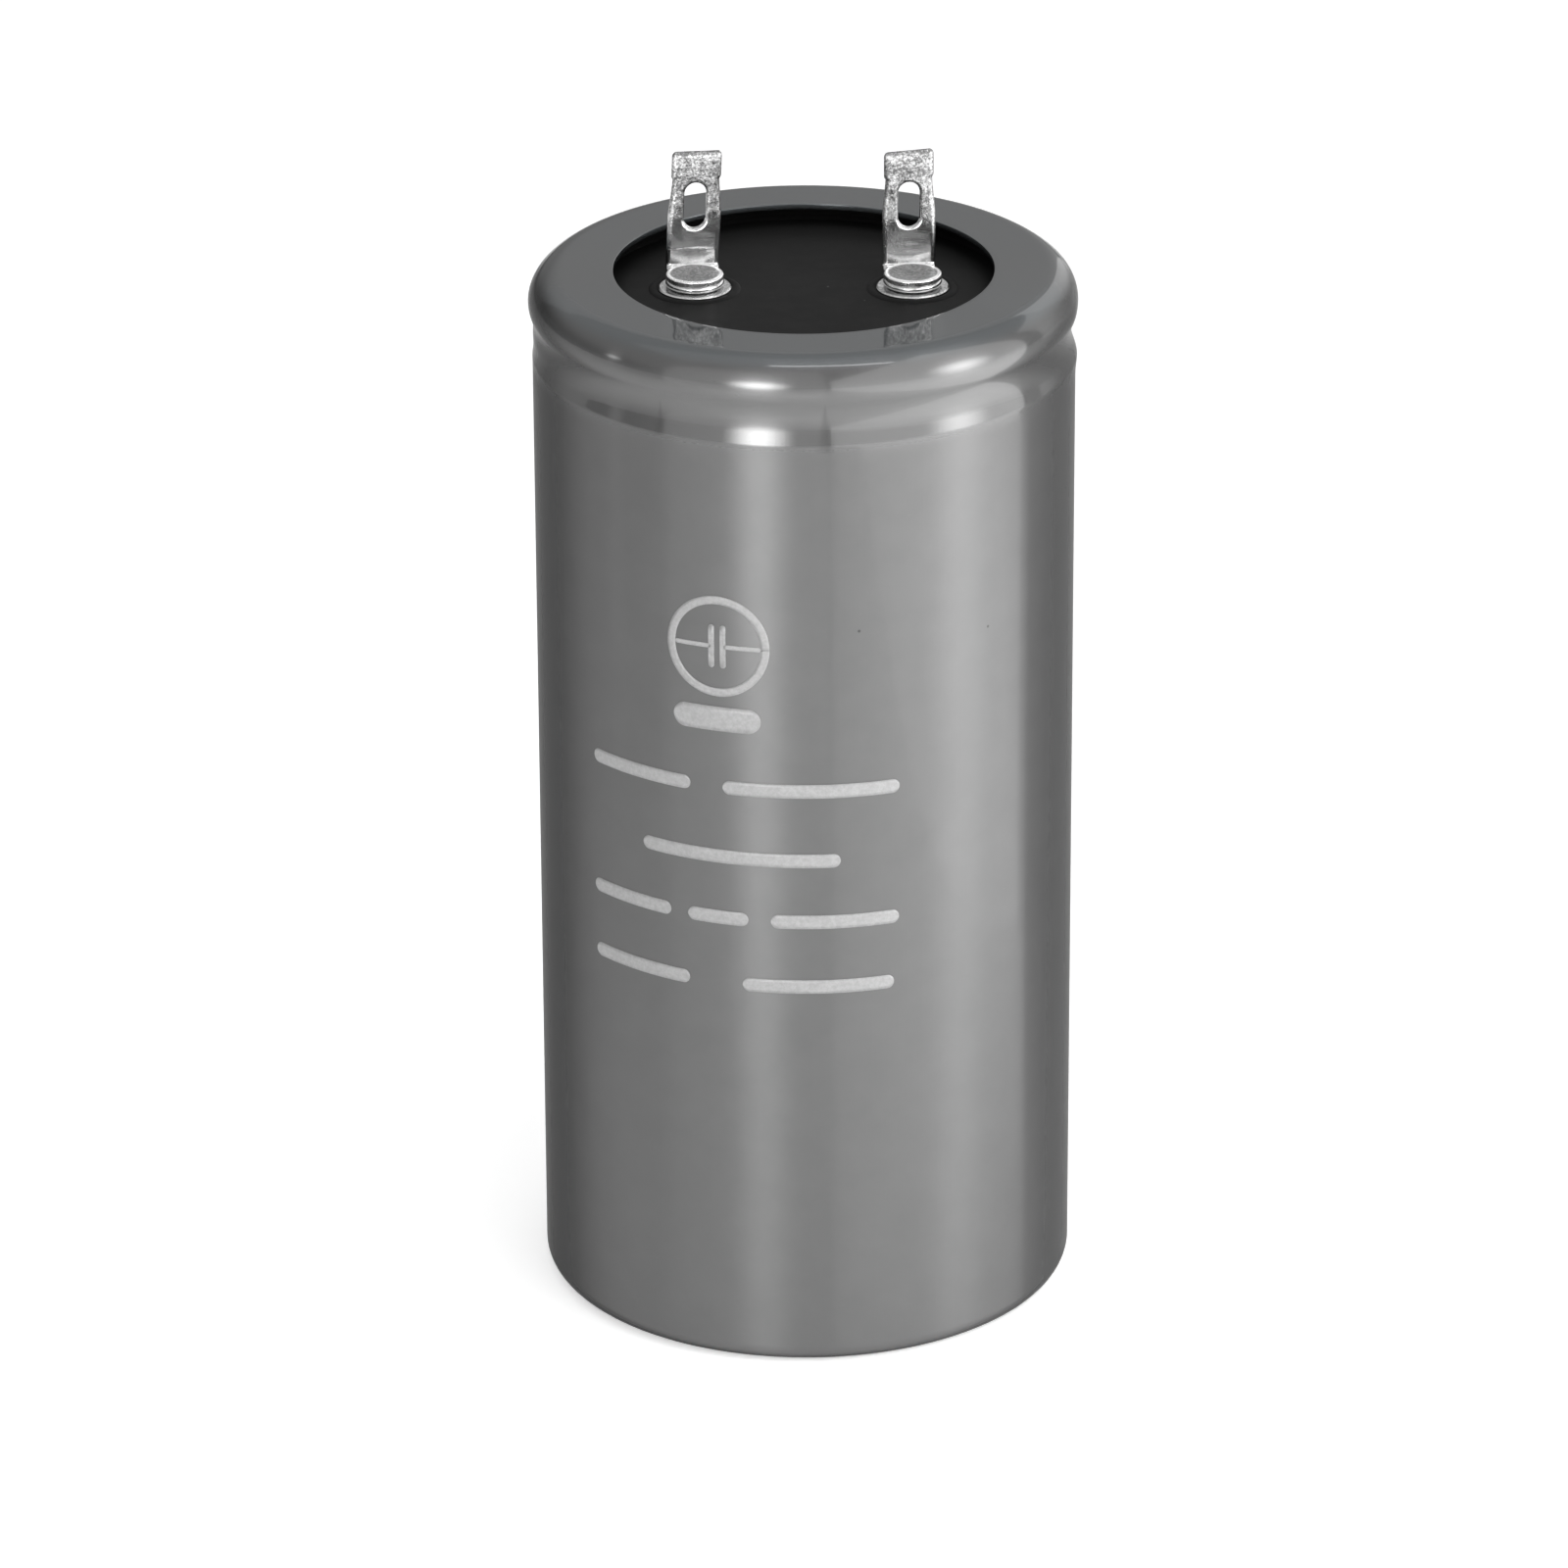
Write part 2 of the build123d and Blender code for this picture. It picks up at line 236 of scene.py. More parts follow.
def makeRoom():
    # Even light all round, less what is taken on the dim side: a smooth step of the direction's dot product
    # with that side times a smooth step of the direction's height
    world = bpy.data.worlds.new("studioRoom")
    world.use_nodes = True
    tree = world.node_tree
    background = tree.nodes["Background"]
    background.inputs["Color"].default_value = (1, 1, 1, 1)
    toward = addNode(tree, "TexCoord").outputs["Generated"]
    sockets = {0: toward, 1: studio["dimSide"]}
    side = addNode(tree, "VectorMath", sockets, operation="DOT_PRODUCT").outputs["Value"]
    turned = remap(tree, side, studio["dimTurn"])
    low = remap(tree, splitPlace(tree, toward)["Z"], studio["dimHeight"], (1.0, 0.0))
    dim = combine(tree, "MULTIPLY", turned, low)
    taken = combine(tree, "MULTIPLY", dim, studio["room"] - studio["roomDim"])
    tree.links.new(combine(tree, "SUBTRACT", studio["room"], taken), background.inputs["Strength"])
    bpy.context.scene.world = world


def makeFloor():
    # White paper, lifted to white only where the camera, a reflection or a see-through piece shows it
    reach, level = studio["floorSize"] / 2, studio["floorLevel"] * mm
    corners = [
        (-reach, -reach, level), (reach, -reach, level),
        (reach, reach, level), (-reach, reach, level),
    ]
    mesh = bpy.data.meshes.new("floor")
    mesh.from_pydata(corners, [], [(0, 1, 2, 3)])
    floor = bpy.data.objects.new("floor", mesh)
    bpy.context.scene.collection.objects.link(floor)
    paper = newMaterial("floorPaper", studio["floorColor"], studio["floorRoughness"])
    tree = paper.node_tree
    shader = tree.nodes["Principled BSDF"]
    shader.inputs["Emission Color"].default_value = (1, 1, 1, 1)
    rays = addNode(tree, "LightPath").outputs
    seen = combine(tree, "MAXIMUM", rays["Is Camera Ray"], rays["Is Glossy Ray"])
    seen = combine(tree, "MAXIMUM", seen, rays["Is Transmission Ray"])
    lift = combine(tree, "MULTIPLY", seen, studio["floorLift"])
    tree.links.new(lift, shader.inputs["Emission Strength"])
    mesh.materials.append(paper)


def quadMesh(name, points, faces):
    # Smooth mesh from points in millimetres and rows of four point numbers
    mesh = bpy.data.meshes.new(name)
    mesh.vertices.add(len(points))
    mesh.vertices.foreach_set("co", (points * mm).astype(np.float32).ravel())
    mesh.loops.add(faces.size)
    mesh.loops.foreach_set("vertex_index", faces.ravel().astype(np.int32))
    mesh.polygons.add(len(faces))
    mesh.polygons.foreach_set("loop_start", np.arange(0, faces.size, 4, dtype=np.int32))
    mesh.update(calc_edges=True)
    mesh.validate()
    mesh.shade_smooth()
    piece = bpy.data.objects.new(name, mesh)
    bpy.context.scene.collection.objects.link(piece)
    return piece


def closedGrid(name, points):
    # Mesh of a grid that closes on itself both ways; points is (rows, columns, 3) in millimetres
    rows, columns = points.shape[:2]
    index = np.arange(rows * columns).reshape(rows, columns)
    right, above = np.roll(index, -1, 1), np.roll(index, -1, 0)
    both = np.roll(above, -1, 1)
    return quadMesh(name, points.reshape(-1, 3), np.stack([index, right, both, above], -1).reshape(-1, 4))


def arc(centre, radius, start, sweep, count):
    # Points of a circle's arc: centre plus radius times the cosine and sine of evenly spaced angles
    angle = np.radians(np.linspace(start, start + sweep, count))
    return np.stack([centre[0] + radius * np.cos(angle), centre[1] + radius * np.sin(angle)], 1)


def run(start, end, count):
    # Evenly spaced points of a straight line, without its last point
    share = np.linspace(0, 1, count, endpoint=False)[:, None]
    return np.array(start) * (1 - share) + np.array(end) * share


def aroundAxis(radius, angle, height):
    # x is the radius times the sine of the angle and y is minus the radius times its cosine: 0 is in front
    return np.stack([radius * np.sin(angle), -radius * np.cos(angle), height + 0 * angle], -1)


# Sleeve in millimetres and degrees: its outline is drawn as (radius, height), and each arc has a centre and
# a radius on the can's side of the film. The film leaves the groove's lower edge at dipSlope and meets the
# bead at beadStart. The wall has more rows from closeFrom up.
sleeve = {
    "radius": 25.0,
    "height": 100.0,
    "film": 0.3,
    "around": 336,
    "baseOpening": 20.0,
    "cornerCentre": (23.0, 2.0),
    "cornerRadius": 1.7,
    "closeFrom": 86.0,
    "edgeCentre": (23.8, 91.8),
    "edgeRadius": 0.9,
    "dipCentre": (29.298, 94.136),
    "dipRadius": 5.0,
    "dipSlope": 14,
    "beadCentre": (22.3, 97.1),
    "beadRadius": 2.6,
    "beadStart": -22.96,
    "opening": 17.5,
    "lipBend": 0.2,
    "lipCorner": 0.06,
    "steps": {
        "base": 10, "corner": 17, "wall": 14, "edge": 7, "slope": 6,
        "dip": 25, "bead": 37, "lip": 10, "bend": 5,
    },
}

# Relief of the film in millimetres and degrees: a fold line is (angle, rise, width), and a swelling is
# (angle, half width, level, half height, rise). It sets in from innerRadius outwards, and folds and waves
# end below foldTop.
relief = {
    "innerRadius": 22.5,
    "innerFade": 2,
    "folds": [
        (5.6, 0.045, 6.0), (-29.0, 0.03, 5.0), (54.2, 0.045, 6.0),
        (118.0, 0.02, 6.0), (-104.0, 0.015, 7.0), (171.0, 0.02, 5.0),
    ],
    "foldTop": 91.6,
    "foldFade": 1.5,
    "swellings": [
        (86, 14, 91.9, 1.0, 0.14), (78, 5, 97.2, 1.6, 0.1), (-68, 12, 96.8, 2.2, 0.05),
        (-92, 22, 94.0, 1.2, 0.33), (-90, 24, 97.2, 2.2, 0.14),
    ],
    "waveRise": 0.006,
    "waveLobes": 3,
    "waveStart": 0.4,
    "waveLengths": (31, 19),
}


def filmRelief(angle, height):
    # Millimetres to add to the radius: folds fall off as exp(-distance / width), swellings as a bell curve,
    # and the waves are a product of two sines
    turn = np.degrees(angle)
    below = np.clip((relief["foldTop"] - height) / relief["foldFade"], 0, 1)
    slow, quick = relief["waveLengths"]
    lobes = np.sin(relief["waveLobes"] * angle + relief["waveStart"] + height / slow)
    rise = relief["waveRise"] * lobes * np.sin(height / quick + angle) * below
    for middle, lift, width in relief["folds"]:
        apart = np.abs((turn - middle + 180) % 360 - 180)
        rise = rise + lift * np.exp(-apart / width) * below
    for middle, wide, level, tall, lift in relief["swellings"]:
        apart = (turn - middle + 180) % 360 - 180
        rise = rise + lift * np.exp(-(apart / wide) ** 2 - ((height - level) / tall) ** 2)
    return rise


def filmLip(out):
    # From the bead's top inwards: the can's side bends down in one arc, the outside has a small round corner
    steps, bend, corner = sleeve["steps"], sleeve["lipBend"], sleeve["lipCorner"]
    canTop = sleeve["height"] - sleeve["film"]
    top, start = canTop + out, sleeve["beadCentre"][0]
    if out:
        end, centre = sleeve["opening"] + corner, (sleeve["opening"] + corner, top - corner)
        rim = [arc(centre, corner, 90, 90, steps["bend"]), [(sleeve["opening"], canTop - bend)]]
    else:
        end = sleeve["opening"] + bend + sleeve["film"]
        rim = [arc((end, canTop - bend), bend, 90, 90, steps["bend"])]
    return [run((start, top), (end, top), steps["lip"]), *rim]


def filmOutline(out):
    # One side of the film, which lies at the distance out from the can: from the base opening to the lip's
    # free edge, in lines and arcs that touch
    steps, slope, leave = sleeve["steps"], sleeve["dipSlope"], sleeve["beadStart"]
    wall, foot = sleeve["radius"] - sleeve["film"] + out, sleeve["film"] - out
    corner, close, edgeLevel = sleeve["cornerCentre"], sleeve["closeFrom"], sleeve["edgeCentre"][1]
    edge = arc(sleeve["edgeCentre"], sleeve["edgeRadius"] + out, 0, slope, steps["edge"])
    dip = arc(sleeve["dipCentre"], sleeve["dipRadius"] - out, 180 + slope, leave - slope, steps["dip"])
    return np.concatenate([
        run((sleeve["baseOpening"], foot), (corner[0], foot), steps["base"]),
        arc(corner, sleeve["cornerRadius"] + out, -90, 90, steps["corner"])[:-1],
        run((wall, corner[1]), (wall, close), steps["wall"]),
        run((wall, close), (wall, edgeLevel), steps["wall"]),
        edge,
        run(edge[-1], dip[0], steps["slope"])[1:],
        dip[:-1],
        arc(sleeve["beadCentre"], sleeve["beadRadius"] + out, leave, 90 - leave, steps["bead"])[:-1],
        *filmLip(out),
    ])


def makeSleeve():
    # The outline turned about the axis, with the relief added to the radius of its outside
    outside, inside = filmOutline(sleeve["film"]), filmOutline(0.0)[::-1]
    outline = np.concatenate([outside, inside])
    angle = np.linspace(0, 2 * np.pi, sleeve["around"], endpoint=False)
    radius, height = outline[:, :1], outline[:, 1:]
    onOutside = (np.arange(len(outline)) < len(outside))[:, None]
    share = np.clip((radius - relief["innerRadius"]) / relief["innerFade"], 0, 1) ** 2 * onOutside
    radius = radius + share * filmRelief(angle, height)
    piece = closedGrid("sleeveFilm", aroundAxis(radius, angle, height))
    piece.data.materials.append(bpy.data.materials["shrinkFilm"])
    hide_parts("sleeve")
    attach(piece, "root")


# Print: shapes on the film laid flat, in degrees round it and millimetres up. A bar is (from, to, level,
# half height). The ring is (angle, level, inner radius, outer radius), and each plate in it is (aside, up,
# half width, half height) from the ring's middle.
printed = {
    "lift": 0.012,
    "thickness": 0.02,
    "bars": [
        (-28.5, -9.3, 65.1, 1.2),
        (-50.8, -24.8, 58.4, 0.68), (-17.6, 20.0, 58.4, 0.68),
        (-36.5, 7.3, 51.5, 0.68),
        (-51.0, -29.6, 45.4, 0.68), (-25.6, -12.2, 45.4, 0.68), (-7.4, 19.9, 45.4, 0.68),
        (-50.7, -25.3, 38.9, 0.68), (-13.5, 18.8, 38.9, 0.68),
    ],
    "ring": (-18.6, 72.2, 4.1, 4.9),
    "plates": [
        (-0.55, 0.0, 0.28, 2.1), (0.55, 0.0, 0.28, 2.1),
        (-2.35, 0.0, 1.75, 0.22), (2.35, 0.0, 1.75, 0.22),
    ],
    "steps": {"end": 13, "bar": 33, "barRows": 5, "ring": 97, "ringRows": 4},
}


def barShape(middle, level, halfWide, halfHeight):
    # A bar with round ends: half its height at a place is the end circle's, or all of it between the ends
    small, steps = min(halfWide, halfHeight), printed["steps"]
    bend = np.cos(np.linspace(np.pi, np.pi / 2, steps["end"]))
    straight = np.linspace(small - halfWide, halfWide - small, steps["bar"])[1:-1]
    side = np.concatenate([small - halfWide + small * bend, straight, halfWide - small - small * bend[::-1]])
    over = np.clip((np.abs(side) - (halfWide - small)) / small, 0, 1)
    tall = halfHeight - small + small * np.sqrt(1 - over ** 2)
    across = np.linspace(-1, 1, steps["barRows"])[:, None]
    return np.stack([middle + side + 0 * across, level + tall * across], -1)


def ringShape(middle, level, inner, outer):
    # A ring: radius from outer to inner in the rows, the full turn in the columns
    turn = np.linspace(0, 2 * np.pi, printed["steps"]["ring"])
    radius = np.linspace(inner, outer, printed["steps"]["ringRows"])[::-1, None]
    return np.stack([middle + radius * np.cos(turn), level + radius * np.sin(turn)], -1)


def wrapped(shape):
    # Flat millimetres wrapped just above the film's relief: the angle is the distance over the radius
    angle = shape[..., 0] / sleeve["radius"]
    radius = sleeve["radius"] + printed["lift"] + filmRelief(angle, shape[..., 1])
    return aroundAxis(radius, angle, shape[..., 1])


def makePrint():
    # Each shape is a grid of points wrapped on the film; one mesh holds them all, as thick as the ink
    shapes = []
    for start, end, level, halfHeight in printed["bars"]:
        left, right = np.radians([start, end]) * sleeve["radius"]
        shapes.append(barShape((left + right) / 2, level, (right - left) / 2, halfHeight))
    turn, level, inner, outer = printed["ring"]
    middle = np.radians(turn) * sleeve["radius"]
    shapes.append(ringShape(middle, level, inner, outer))
    for aside, up, halfWide, halfHeight in printed["plates"]:
        shapes.append(barShape(middle + aside, level + up, halfWide, halfHeight))
    points, faces, count = [], [], 0
    for shape in shapes:
        rows, columns = shape.shape[:2]
        index = np.arange(rows * columns).reshape(rows, columns) + count
        first, second = index[:-1], index[1:]
        quads = np.stack([first[:, :-1], first[:, 1:], second[:, 1:], second[:, :-1]], -1)
        faces.append(quads.reshape(-1, 4))
        points.append(wrapped(shape).reshape(-1, 3))
        count += rows * columns
    piece = quadMesh("printedMarks", np.concatenate(points), np.concatenate(faces))
    shell = piece.modifiers.new("thickness", "SOLIDIFY")
    shell.thickness = printed["thickness"] * mm
    shell.offset = 1.0
    piece.data.materials.append(bpy.data.materials["printInk"])
    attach(piece, "root")


# Rubber lip squeezed up round the cover against the rolled-in rim, which also serves as painted shade: dark
# rubber over the can's curl in the gap under the film's lip. In millimetres as (radius, height); each arc is
# (start, sweep) in degrees, and the foot is the radius where the lip ends, a little above and below the face
rubberLipAndShade = {
    "rimCentre": (22.3, 97.1),
    "rim": 2.62,
    "rimArc": (164, -44),
    "thickness": 0.35,
    "backArc": (122, 36),
    "face": 97.95,
    "foot": 18.9,
    "footAbove": 0.02,
    "footBelow": 0.1,
    "steps": 14,
    "around": 240,
}


def makeRubberLipAndShade():
    # Closed profile: up the rim's curve and back down it one thickness inwards, turned about the axis
    centre, rim, foot, face = (rubberLipAndShade[key] for key in ("rimCentre", "rim", "foot", "face"))
    outline = np.concatenate([
        arc(centre, rim, *rubberLipAndShade["rimArc"], rubberLipAndShade["steps"]),
        arc(centre, rim + rubberLipAndShade["thickness"], *rubberLipAndShade["backArc"], rubberLipAndShade["steps"]),
        [(foot, face + rubberLipAndShade["footAbove"]), (foot, face - rubberLipAndShade["footBelow"])],
    ])
    angle = np.linspace(0, 2 * np.pi, rubberLipAndShade["around"], endpoint=False)
    piece = closedGrid("rubberLipAndShade", aroundAxis(outline[:, :1], angle, outline[:, 1:]))
    piece.data.materials.append(bpy.data.materials["coverRubber"])
    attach(piece, "root")


# Lugs: millimetres on the flat blank, sideways and along it from the rivet's axis, before it is bent up.
# Sides are (along, half width), the slot is (middle, end radius, half of its straight part), and the
# eyelet's circle meets the sides at neck. Each lug leans sideways and turns about its rivet in degrees, its
# tip slopes from bladeFrom on, and its marks are (across, along, half width, half height, rise).
lugShape = {
    "pitch": 10.0,
    "thickness": 0.8,
    "edge": 0.5,
    "slotEdge": 0.28,
    "eyelet": 2.7,
    "neck": 1.135,
    "footSide": 2.45,
    "sides": [(-2.7, 2.45), (8.48, 2.45), (11.88, 2.15), (12.08, 2.3), (14.478, 2.3)],
    "tip": 14.478,
    "tipRise": 0.1,
    "corner": 0.45,
    "slot": (9.35, 1.0, 1.15),
    "bendStart": 2.7,
    "bendRadius": 0.75,
    "bendLevel": 99.4,
    "bladeFrom": 8,
    "slopeOver": 6,
    "unevenFrom": 3.0,
    "rows": {
        "eyelet": 28, "sideEnd": 14.0, "sideStep": 0.14, "corner": 9,
        "tip": 24, "rim": 8, "between": 44,
    },
    "lumps": {
        "waves": 16, "turn": 2.4, "coarsest": 0.9, "finer": 0.33,
        "pace": 2, "rise": 0.006, "least": 0.4, "grow": 2,
    },
    "left": {
        "lean": 3.0, "turn": 4.5, "slope": 0.01, "phase": 0.3,
        "marks": [
            (0.2, 5.15, 1.9, 0.16, 0.07), (-0.3, 4.3, 1.5, 0.4, -0.05),
            (0.9, 6.3, 1.1, 0.5, -0.05), (0.3, 13.0, 0.22, 1.3, 0.04),
        ],
    },
    "right": {
        "lean": 0.0, "turn": 5.5, "slope": 0.06, "phase": 2.1,
        "marks": [(0.1, 6.1, 1.5, 0.75, -0.09), (-1.6, 11.2, 0.5, 0.9, 0.06), (0.3, 4.7, 1.7, 0.14, 0.05)],
    },
}


def halfWidth(along):
    # Half the blank's width: the eyelet's circle, then the straight sides, less the round of a tip corner
    reach, wide = np.array(lugShape["sides"]).T
    sides = np.interp(along, reach, wide)
    rounding = lugShape["corner"]
    into = np.clip(along - (lugShape["tip"] - rounding), 0, rounding)
    sides = sides - rounding + np.sqrt(np.maximum(rounding ** 2 - into ** 2, 0))
    circle = np.sqrt(np.maximum(lugShape["eyelet"] ** 2 - along ** 2, 0))
    foot = np.where(along < lugShape["neck"], np.maximum(circle, sides), sides)
    return np.where(along < 0, circle, foot)


def lugOutline():
    # Up the right side from the eyelet's foot, along the tip, and down the mirrored left side
    rows, tip = lugShape["rows"], lugShape["tip"]
    foot = -lugShape["eyelet"] * np.cos(np.linspace(0, np.pi / 2, rows["eyelet"], endpoint=False))
    side = np.arange(0, rows["sideEnd"], rows["sideStep"])
    corner = tip - lugShape["corner"] * (1 - np.sin(np.linspace(0, np.pi / 2, rows["corner"])))
    along = np.concatenate([foot, side, corner])
    right = np.stack([halfWidth(along), along], 1)
    last = right[-1, 0]
    top = np.stack([np.linspace(last, -last, rows["tip"] + 2)[1:-1], np.full(rows["tip"], tip)], 1)
    return np.concatenate([right, top, (right * (-1, 1))[::-1][:-1]])


def slotRim(outer):
    # Where the line from the slot's middle to each outline point crosses the slot's side or its round end
    middle, radius, half = lugShape["slot"]
    sideways, ahead = (outer - (0, middle)).T
    straight = radius / np.maximum(np.abs(sideways), 1e-9)
    size = np.hypot(sideways, ahead)
    part = half * np.abs(ahead) / size
    rounded = (part + np.sqrt(np.maximum(part ** 2 - half ** 2 + radius ** 2, 0))) / size
    reach = np.where(np.abs(ahead) * straight <= half, straight, rounded)
    return np.stack([sideways * reach, middle + ahead * reach], 1)


def lugFace():
    # Rings from the slot's rim to the outline: inner plus a share of outer less inner, close at both rims
    outer = lugOutline()
    inner = slotRim(outer)
    count = lugShape["rows"]["rim"]
    length = np.hypot(*(outer - inner).T)
    rim = lugShape["edge"] * (1 - np.cos(np.linspace(0, np.pi / 2, count)))[:, None] / length
    rim = np.minimum(rim, 0.45 * np.linspace(0, 1, count)[:, None])   # so that the two rims never meet
    between = np.linspace(0, 1, lugShape["rows"]["between"] + 2)[1:-1, None]
    share = np.concatenate([rim, rim[-1] + (1 - 2 * rim[-1]) * between, 1 - rim[::-1]])
    face = inner + share[..., None] * (outer - inner)
    return face[..., 0], face[..., 1]


def rimShare(across, along):
    # 0 on a rim and 1 where the edge's rounding ends, by the distance to the slot or to the outline
    middle, radius, half = lugShape["slot"]
    toSlot = np.hypot(across, np.maximum(np.abs(along - middle) - half, 0)) - radius
    circle = lugShape["eyelet"] - np.hypot(across, along)
    foot = np.maximum(circle, (lugShape["footSide"] - np.abs(across)) * (along > 0))
    toRim = np.where(along < lugShape["neck"], foot, halfWidth(along) - np.abs(across))
    toRim = np.minimum(toRim, lugShape["tip"] - along)
    return np.clip(np.minimum(toSlot / lugShape["slotEdge"], toRim / lugShape["edge"]), 0, 1)


def lumps(across, along, phase):
    # Uneven tin: a sum of sines in scattered directions, weaker as they get finer, stronger on the blade
    chosen, total = lugShape["lumps"], 0
    for step in range(chosen["waves"]):
        way, fine = chosen["turn"] * step + phase, chosen["coarsest"] + chosen["finer"] * step
        ahead = across * np.cos(way) + along * np.sin(way)
        total = total + np.sin(fine * ahead * chosen["pace"] + phase * step) / fine
    onBlade = np.clip((along - lugShape["bladeFrom"]) / chosen["grow"], 0, 1)
    return total * chosen["rise"] * (chosen["least"] + onBlade)


def bentUp(side, across, along, offset):
    # The blank bent up through a quarter circle; its tip slopes, and it leans, turns and goes to its rivet
    own, bend, radius = lugShape[side], lugShape["bendStart"], lugShape["bendRadius"]
    turn = np.clip((along - bend) / radius, 0, np.pi / 2)
    rise = np.maximum(along - bend - radius * np.pi / 2, 0)
    back = np.minimum(along, bend) + (radius - offset) * np.sin(turn)
    height = lugShape["bendLevel"] - (radius - offset) * np.cos(turn) + rise
    upper = np.clip((along - lugShape["bladeFrom"]) / lugShape["slopeOver"], 0, 1)
    height = height + (own["slope"] * across + lugShape["tipRise"]) * upper
    across = across + np.tan(np.radians(own["lean"])) * rise
    spin = np.radians(own["turn"])
    centre = lugShape["pitch"] * (1 if side == "right" else -1)
    return np.stack([
        centre + across * np.cos(spin) - back * np.sin(spin),
        across * np.sin(spin) + back * np.cos(spin),
        height,
    ], -1)


def makeLug(side):
    # Front and rear face in one closed grid: each is half the thickness off the middle, along a quarter
    # circle at the rims, and uneven by lumps and bell-shaped marks, half as much at the rear
    own = lugShape[side]
    across, along = lugFace()
    near = rimShare(across, along)
    half = lugShape["thickness"] / 2 * np.sqrt(1 - (1 - near) ** 2)
    uneven = lumps(across, along, own["phase"])
    for markAcross, markAlong, wide, tall, depth in own["marks"]:
        apart = ((across - markAcross) / wide) ** 2 + ((along - markAlong) / tall) ** 2
        uneven = uneven + depth * np.exp(-apart)
    uneven = uneven * near * np.clip(along - lugShape["unevenFrom"], 0, 1)
    rear = -half + 0.5 * uneven
    offset = np.concatenate([half + uneven, rear[-2:0:-1]])
    across, along = (np.concatenate([face, face[-2:0:-1]]) for face in (across, along))
    piece = closedGrid(side + "LugPlate", bentUp(side, across, along, offset)[::-1])
    piece.data.materials.append(bpy.data.materials["lugTin"])
    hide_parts(side + "_lug")
    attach(piece, "root")


def newGroup(name, values, results):
    # Shader group that takes a Vector and the named values and puts out the named results
    group = bpy.data.node_groups.new(name, "ShaderNodeTree")
    group.interface.new_socket(name="Vector", in_out="INPUT", socket_type="NodeSocketVector")
    for key in values:
        group.interface.new_socket(name=key, in_out="INPUT", socket_type="NodeSocketFloat")
    for key in results:
        group.interface.new_socket(name=key, in_out="OUTPUT", socket_type="NodeSocketFloat")
    return group, group.nodes.new("NodeGroupInput").outputs, group.nodes.new("NodeGroupOutput").inputs


# Grain of dipped tin: blotches and crystals in cells per millimetre, with the limits between which each
# turns from dark to bright. Frost sets in within spread millimetres of its start, which wanders, and
# patches dim it.
tinGrain = {
    "blotchScale": 0.6,
    "blotchLimits": (0.36, 0.64),
    "crystalScale": 4.5,
    "crystalLimits": (0.36, 0.7),
    "wander": 3.0,
    "spread": 2.0,
    "leastFrost": 0.3,
    "patches": 0.3,
}


def makeTinGrain():
    # Tone is 1, less the frost times the dark between crystals, less some of the frost times dark blotches
    group, given, made = newGroup("tinGrain", ["Start"], ["Tone", "Height", "Frost"])
    place = given["Vector"]
    blotch = remap(group, grain(group, place, tinGrain["blotchScale"], detail=4.0), tinGrain["blotchLimits"])
    wander = combine(group, "MULTIPLY", combine(group, "SUBTRACT", blotch, 0.5), tinGrain["wander"] * mm)
    above = combine(group, "SUBTRACT", splitPlace(group, place)["Z"], given["Start"])
    above = combine(group, "ADD", above, wander)
    spread = tinGrain["spread"] * mm
    frost = remap(group, above, (-spread, spread), (tinGrain["leastFrost"], 1.0))
    fine = grain(group, place, tinGrain["crystalScale"], detail=6.0, roughness=0.75)
    crystals = remap(group, fine, tinGrain["crystalLimits"])
    dimmed = combine(group, "MULTIPLY", combine(group, "SUBTRACT", 1.0, crystals), frost)
    patch = combine(group, "MULTIPLY", frost, tinGrain["patches"])
    patched = combine(group, "MULTIPLY", combine(group, "SUBTRACT", 1.0, blotch), patch)
    tone = combine(group, "SUBTRACT", combine(group, "SUBTRACT", 1.0, dimmed), patched)
    group.links.new(tone, made["Tone"])
    group.links.new(combine(group, "MULTIPLY", crystals, frost), made["Height"])
    group.links.new(frost, made["Frost"])


def makeSpecks():
    # Dust: a dot wherever the distance to a scattered point is small, kept for a share of the points
    group, given, made = newGroup("specks", ["Scale", "Size", "Share"], ["Mask"])
    cells = addNode(group, "TexVoronoi", {"Vector": given["Vector"], "Scale": given["Scale"]}).outputs
    near = combine(group, "LESS_THAN", cells["Distance"], given["Size"])
    number = addNode(group, "SeparateColor", {"Color": cells["Color"]}).outputs["Red"]
    chosen = combine(group, "LESS_THAN", number, given["Share"])
    group.links.new(combine(group, "MULTIPLY", near, chosen), made["Mask"])


def speckMask(tree, scale, size, share):
    values = {"Vector": objectPlace(tree), "Scale": scale, "Size": size, "Share": share}
    return addNode(tree, "Group", values, node_tree=bpy.data.node_groups["specks"]).outputs["Mask"]


